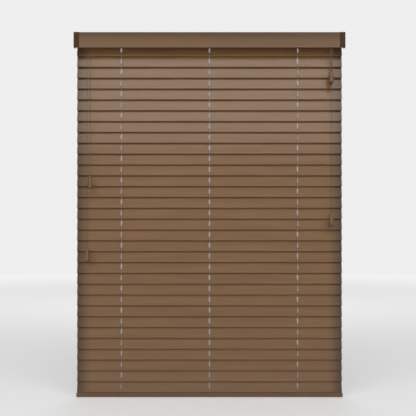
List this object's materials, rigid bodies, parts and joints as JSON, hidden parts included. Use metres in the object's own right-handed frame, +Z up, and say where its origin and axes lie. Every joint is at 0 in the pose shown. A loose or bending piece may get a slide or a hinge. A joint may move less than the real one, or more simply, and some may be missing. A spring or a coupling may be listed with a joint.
{
  "type": "venetian blind",
  "caption": "Wooden slat blind with a boxed valance, string ladders, a cord tilter with tassels, and a cord lock with a condenser and pull tassel.",
  "frame": {"origin": "middle of the four screw holes in the tops of the two box brackets, on their upper face", "axes": "+Z up, out of the bracket tops; -Y towards the room; X along the slats"},
  "size_m": [1.09, 0.078, 1.471],
  "materials": {
    "slat_wood": "satin stain",
    "valance_wood": "satin stain",
    "rail_wood": "satin stain",
    "corner_plastic": "satin",
    "headrail_steel": "satin",
    "bracket_steel": "satin",
    "rod_steel": "drawn",
    "white_plastic": "matte",
    "brass": "knurled",
    "ladder_string": "braided",
    "pale_cord": "braided",
    "brown_cord": "braided",
    "tassel_wood": "lacquered"
  },
  "bodies": {
    "root": {"headrail": "headrail_steel", "mounting_brackets": "bracket_steel", "bracket_doors": "bracket_steel", "valance_front": "valance_wood", "valance_returns": "valance_wood", "valance_corners": "corner_plastic", "valance_clips": "white_plastic", "ladder_cradles": "white_plastic", "tilter_housing": "white_plastic", "cord_lock_body": "white_plastic", "ladder_tops": "ladder_string", "ladder_tails": "ladder_string", "lift_cords": "pale_cord", "bottom_rail": "rail_wood", "bottom_rail_plugs": "corner_plastic", "tilt_cord": "brown_cord", "pull_cords": "brown_cord", "cord_condenser": "tassel_wood", "pull_tassel": "tassel_wood"},
    "rod": {"tilt_rod": "rod_steel", "tilt_drums": "white_plastic", "tilter_wheel": "white_plastic"},
    "worm": {"tilter_worm": "white_plastic"},
    "lock_roller": {"cord_lock_roller": "brass"},
    "ladder_front": {"ladder_front_strings": "ladder_string"},
    "ladder_rear": {"ladder_rear_strings": "ladder_string"},
    "tassel_upper": {"tilt_tassel_upper": "tassel_wood"},
    "tassel_lower": {"tilt_tassel_lower": "tassel_wood"},
    "slat_01": {"slat_01": "slat_wood"},
    "slat_02": {"slat_02": "slat_wood"},
    "slat_03": {"slat_03": "slat_wood"},
    "slat_04": {"slat_04": "slat_wood"},
    "slat_05": {"slat_05": "slat_wood"},
    "slat_06": {"slat_06": "slat_wood"},
    "slat_07": {"slat_07": "slat_wood"},
    "slat_08": {"slat_08": "slat_wood"},
    "slat_09": {"slat_09": "slat_wood"},
    "slat_10": {"slat_10": "slat_wood"},
    "slat_11": {"slat_11": "slat_wood"},
    "slat_12": {"slat_12": "slat_wood"},
    "slat_13": {"slat_13": "slat_wood"},
    "slat_14": {"slat_14": "slat_wood"},
    "slat_15": {"slat_15": "slat_wood"},
    "slat_16": {"slat_16": "slat_wood"},
    "slat_17": {"slat_17": "slat_wood"},
    "slat_18": {"slat_18": "slat_wood"},
    "slat_19": {"slat_19": "slat_wood"},
    "slat_20": {"slat_20": "slat_wood"},
    "slat_21": {"slat_21": "slat_wood"},
    "slat_22": {"slat_22": "slat_wood"},
    "slat_23": {"slat_23": "slat_wood"},
    "slat_24": {"slat_24": "slat_wood"},
    "slat_25": {"slat_25": "slat_wood"},
    "slat_26": {"slat_26": "slat_wood"},
    "slat_27": {"slat_27": "slat_wood"},
    "slat_28": {"slat_28": "slat_wood"},
    "slat_29": {"slat_29": "slat_wood"},
    "slat_30": {"slat_30": "slat_wood"},
    "slat_31": {"slat_31": "slat_wood"},
    "slat_32": {"slat_32": "slat_wood"}
  },
  "joints": [
    {"name": "slat_tilt", "type": "hinge", "parent": "root", "child": "slat_01", "pos_m": [0, 0, -0.066], "axis": [-1, 0, 0], "range_deg": [0, 150], "deforming": ["ladder_tops", "ladder_tails", "tilt_cord"]},
    {"name": "slat_02_tilt", "type": "hinge", "parent": "root", "child": "slat_02", "pos_m": [0, 0, -0.11], "axis": [-1, 0, 0], "range_deg": [0, 150]},
    {"name": "slat_03_tilt", "type": "hinge", "parent": "root", "child": "slat_03", "pos_m": [0, 0, -0.154], "axis": [-1, 0, 0], "range_deg": [0, 150]},
    {"name": "slat_04_tilt", "type": "hinge", "parent": "root", "child": "slat_04", "pos_m": [0, 0, -0.198], "axis": [-1, 0, 0], "range_deg": [0, 150]},
    {"name": "slat_05_tilt", "type": "hinge", "parent": "root", "child": "slat_05", "pos_m": [0, 0, -0.242], "axis": [-1, 0, 0], "range_deg": [0, 150]},
    {"name": "slat_06_tilt", "type": "hinge", "parent": "root", "child": "slat_06", "pos_m": [0, 0, -0.286], "axis": [-1, 0, 0], "range_deg": [0, 150]},
    {"name": "slat_07_tilt", "type": "hinge", "parent": "root", "child": "slat_07", "pos_m": [0, 0, -0.33], "axis": [-1, 0, 0], "range_deg": [0, 150]},
    {"name": "slat_08_tilt", "type": "hinge", "parent": "root", "child": "slat_08", "pos_m": [0, 0, -0.374], "axis": [-1, 0, 0], "range_deg": [0, 150]},
    {"name": "slat_09_tilt", "type": "hinge", "parent": "root", "child": "slat_09", "pos_m": [0, 0, -0.418], "axis": [-1, 0, 0], "range_deg": [0, 150]},
    {"name": "slat_10_tilt", "type": "hinge", "parent": "root", "child": "slat_10", "pos_m": [0, 0, -0.462], "axis": [-1, 0, 0], "range_deg": [0, 150]},
    {"name": "slat_11_tilt", "type": "hinge", "parent": "root", "child": "slat_11", "pos_m": [0, 0, -0.506], "axis": [-1, 0, 0], "range_deg": [0, 150]},
    {"name": "slat_12_tilt", "type": "hinge", "parent": "root", "child": "slat_12", "pos_m": [0, 0, -0.55], "axis": [-1, 0, 0], "range_deg": [0, 150]},
    {"name": "slat_13_tilt", "type": "hinge", "parent": "root", "child": "slat_13", "pos_m": [0, 0, -0.594], "axis": [-1, 0, 0], "range_deg": [0, 150]},
    {"name": "slat_14_tilt", "type": "hinge", "parent": "root", "child": "slat_14", "pos_m": [0, 0, -0.638], "axis": [-1, 0, 0], "range_deg": [0, 150]},
    {"name": "slat_15_tilt", "type": "hinge", "parent": "root", "child": "slat_15", "pos_m": [0, 0, -0.682], "axis": [-1, 0, 0], "range_deg": [0, 150]},
    {"name": "slat_16_tilt", "type": "hinge", "parent": "root", "child": "slat_16", "pos_m": [0, 0, -0.726], "axis": [-1, 0, 0], "range_deg": [0, 150]},
    {"name": "slat_17_tilt", "type": "hinge", "parent": "root", "child": "slat_17", "pos_m": [0, 0, -0.77], "axis": [-1, 0, 0], "range_deg": [0, 150]},
    {"name": "slat_18_tilt", "type": "hinge", "parent": "root", "child": "slat_18", "pos_m": [0, 0, -0.814], "axis": [-1, 0, 0], "range_deg": [0, 150]},
    {"name": "slat_19_tilt", "type": "hinge", "parent": "root", "child": "slat_19", "pos_m": [0, 0, -0.858], "axis": [-1, 0, 0], "range_deg": [0, 150]},
    {"name": "slat_20_tilt", "type": "hinge", "parent": "root", "child": "slat_20", "pos_m": [0, 0, -0.902], "axis": [-1, 0, 0], "range_deg": [0, 150]},
    {"name": "slat_21_tilt", "type": "hinge", "parent": "root", "child": "slat_21", "pos_m": [0, 0, -0.946], "axis": [-1, 0, 0], "range_deg": [0, 150]},
    {"name": "slat_22_tilt", "type": "hinge", "parent": "root", "child": "slat_22", "pos_m": [0, 0, -0.99], "axis": [-1, 0, 0], "range_deg": [0, 150]},
    {"name": "slat_23_tilt", "type": "hinge", "parent": "root", "child": "slat_23", "pos_m": [0, 0, -1.034], "axis": [-1, 0, 0], "range_deg": [0, 150]},
    {"name": "slat_24_tilt", "type": "hinge", "parent": "root", "child": "slat_24", "pos_m": [0, 0, -1.078], "axis": [-1, 0, 0], "range_deg": [0, 150]},
    {"name": "slat_25_tilt", "type": "hinge", "parent": "root", "child": "slat_25", "pos_m": [0, 0, -1.122], "axis": [-1, 0, 0], "range_deg": [0, 150]},
    {"name": "slat_26_tilt", "type": "hinge", "parent": "root", "child": "slat_26", "pos_m": [0, 0, -1.166], "axis": [-1, 0, 0], "range_deg": [0, 150]},
    {"name": "slat_27_tilt", "type": "hinge", "parent": "root", "child": "slat_27", "pos_m": [0, 0, -1.21], "axis": [-1, 0, 0], "range_deg": [0, 150]},
    {"name": "slat_28_tilt", "type": "hinge", "parent": "root", "child": "slat_28", "pos_m": [0, 0, -1.254], "axis": [-1, 0, 0], "range_deg": [0, 150]},
    {"name": "slat_29_tilt", "type": "hinge", "parent": "root", "child": "slat_29", "pos_m": [0, 0, -1.298], "axis": [-1, 0, 0], "range_deg": [0, 150]},
    {"name": "slat_30_tilt", "type": "hinge", "parent": "root", "child": "slat_30", "pos_m": [0, 0, -1.342], "axis": [-1, 0, 0], "range_deg": [0, 150]},
    {"name": "slat_31_tilt", "type": "hinge", "parent": "root", "child": "slat_31", "pos_m": [0, 0, -1.386], "axis": [-1, 0, 0], "range_deg": [0, 150]},
    {"name": "slat_32_tilt", "type": "hinge", "parent": "root", "child": "slat_32", "pos_m": [0, 0, -1.43], "axis": [-1, 0, 0], "range_deg": [0, 150]},
    {"name": "rod_turn", "type": "hinge", "parent": "root", "child": "rod", "pos_m": [0, 0, -0.021], "axis": [-1, 0, 0], "range_deg": [0, 240]},
    {"name": "worm_turn", "type": "hinge", "parent": "root", "child": "worm", "pos_m": [-0.486, 0, -0.031], "axis": [0, 1, 0], "range_deg": [0, 2880]},
    {"name": "upper_tassel_drop", "type": "slide", "parent": "root", "child": "tassel_upper", "axis": [0.0165, 0, -0.9999], "range_m": [0, 0.2966]},
    {"name": "lower_tassel_rise", "type": "slide", "parent": "root", "child": "tassel_lower", "axis": [-0.0165, 0, 0.9999], "range_m": [0, 0.2966]},
    {"name": "front_ladder_swing", "type": "hinge", "parent": "slat_16", "child": "ladder_front", "pos_m": [0, -0.00608, -0.7487], "axis": [-1, 0, 0], "range_deg": [-150, 0]},
    {"name": "rear_ladder_swing", "type": "hinge", "parent": "slat_16", "child": "ladder_rear", "pos_m": [0, 0.00608, -0.7033], "axis": [-1, 0, 0], "range_deg": [-150, 0]},
    {"name": "lock_roller_slide", "type": "slide", "parent": "root", "child": "lock_roller", "axis": [0, 0.5, 0.866], "range_m": [0, 0.003]}
  ],
  "couplings": [
    {"joint": "slat_02_tilt", "follows": "slat_tilt", "ratio": 1},
    {"joint": "slat_03_tilt", "follows": "slat_tilt", "ratio": 1},
    {"joint": "slat_04_tilt", "follows": "slat_tilt", "ratio": 1},
    {"joint": "slat_05_tilt", "follows": "slat_tilt", "ratio": 1},
    {"joint": "slat_06_tilt", "follows": "slat_tilt", "ratio": 1},
    {"joint": "slat_07_tilt", "follows": "slat_tilt", "ratio": 1},
    {"joint": "slat_08_tilt", "follows": "slat_tilt", "ratio": 1},
    {"joint": "slat_09_tilt", "follows": "slat_tilt", "ratio": 1},
    {"joint": "slat_10_tilt", "follows": "slat_tilt", "ratio": 1},
    {"joint": "slat_11_tilt", "follows": "slat_tilt", "ratio": 1},
    {"joint": "slat_12_tilt", "follows": "slat_tilt", "ratio": 1},
    {"joint": "slat_13_tilt", "follows": "slat_tilt", "ratio": 1},
    {"joint": "slat_14_tilt", "follows": "slat_tilt", "ratio": 1},
    {"joint": "slat_15_tilt", "follows": "slat_tilt", "ratio": 1},
    {"joint": "slat_16_tilt", "follows": "slat_tilt", "ratio": 1},
    {"joint": "slat_17_tilt", "follows": "slat_tilt", "ratio": 1},
    {"joint": "slat_18_tilt", "follows": "slat_tilt", "ratio": 1},
    {"joint": "slat_19_tilt", "follows": "slat_tilt", "ratio": 1},
    {"joint": "slat_20_tilt", "follows": "slat_tilt", "ratio": 1},
    {"joint": "slat_21_tilt", "follows": "slat_tilt", "ratio": 1},
    {"joint": "slat_22_tilt", "follows": "slat_tilt", "ratio": 1},
    {"joint": "slat_23_tilt", "follows": "slat_tilt", "ratio": 1},
    {"joint": "slat_24_tilt", "follows": "slat_tilt", "ratio": 1},
    {"joint": "slat_25_tilt", "follows": "slat_tilt", "ratio": 1},
    {"joint": "slat_26_tilt", "follows": "slat_tilt", "ratio": 1},
    {"joint": "slat_27_tilt", "follows": "slat_tilt", "ratio": 1},
    {"joint": "slat_28_tilt", "follows": "slat_tilt", "ratio": 1},
    {"joint": "slat_29_tilt", "follows": "slat_tilt", "ratio": 1},
    {"joint": "slat_30_tilt", "follows": "slat_tilt", "ratio": 1},
    {"joint": "slat_31_tilt", "follows": "slat_tilt", "ratio": 1},
    {"joint": "slat_32_tilt", "follows": "slat_tilt", "ratio": 1},
    {"joint": "rod_turn", "follows": "slat_tilt", "ratio": 1.6},
    {"joint": "worm_turn", "follows": "slat_tilt", "ratio": 19.2},
    {"joint": "upper_tassel_drop", "follows": "slat_tilt", "m_per_rad": 0.11328},
    {"joint": "lower_tassel_rise", "follows": "slat_tilt", "m_per_rad": 0.11328},
    {"joint": "front_ladder_swing", "follows": "slat_tilt", "ratio": -1},
    {"joint": "rear_ladder_swing", "follows": "slat_tilt", "ratio": -1}
  ]
}
